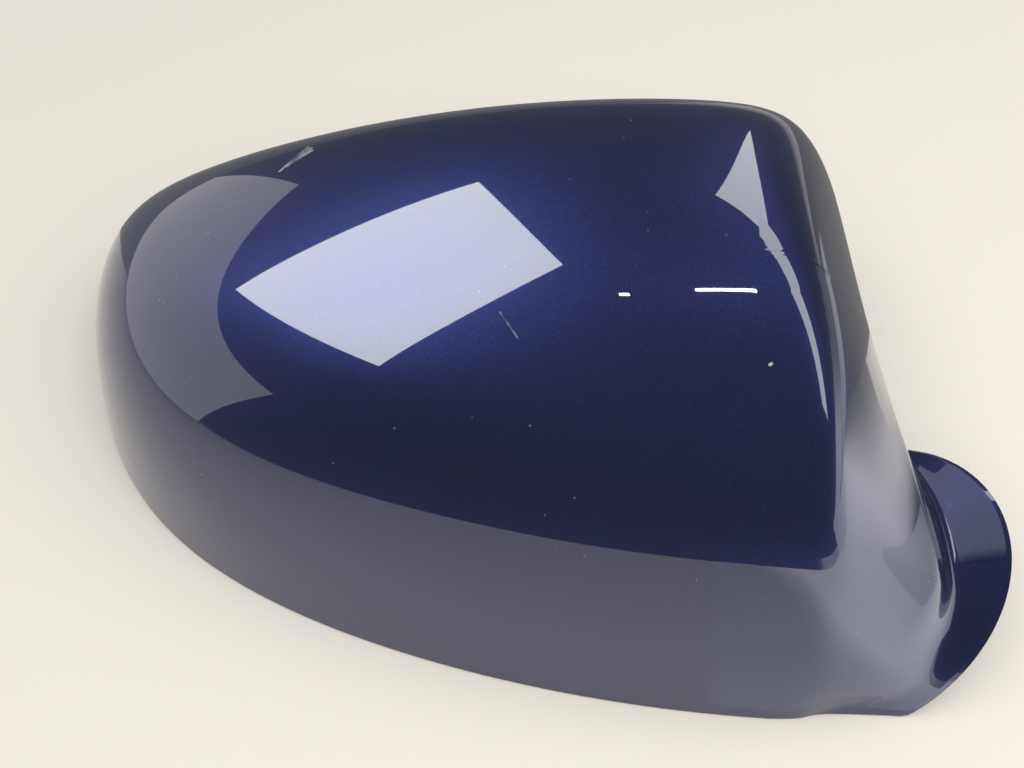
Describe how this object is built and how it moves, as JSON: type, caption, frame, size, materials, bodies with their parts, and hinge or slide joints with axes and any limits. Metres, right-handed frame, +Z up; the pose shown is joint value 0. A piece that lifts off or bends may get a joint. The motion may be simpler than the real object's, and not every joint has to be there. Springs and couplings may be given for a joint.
{
  "type": "wing mirror cover",
  "caption": "Moulded car door mirror cover: a domed, painted shell with a rounded tip, a ridged inboard slope, a flared foot and screw bosses inside.",
  "frame": {"origin": "centre of the bounding box at the rim, on which the cover lies", "axes": "+Z up from the rim to the crown, +X along the length from the rounded tip to the foot, +Y from the near edge to the far edge"},
  "size_m": [0.2446, 0.1613, 0.0837],
  "materials": {
    "paint": "dark blue metallic paint under clear coat"
  },
  "bodies": {
    "root": {"mirror_cover": "paint"}
  },
  "joints": []
}
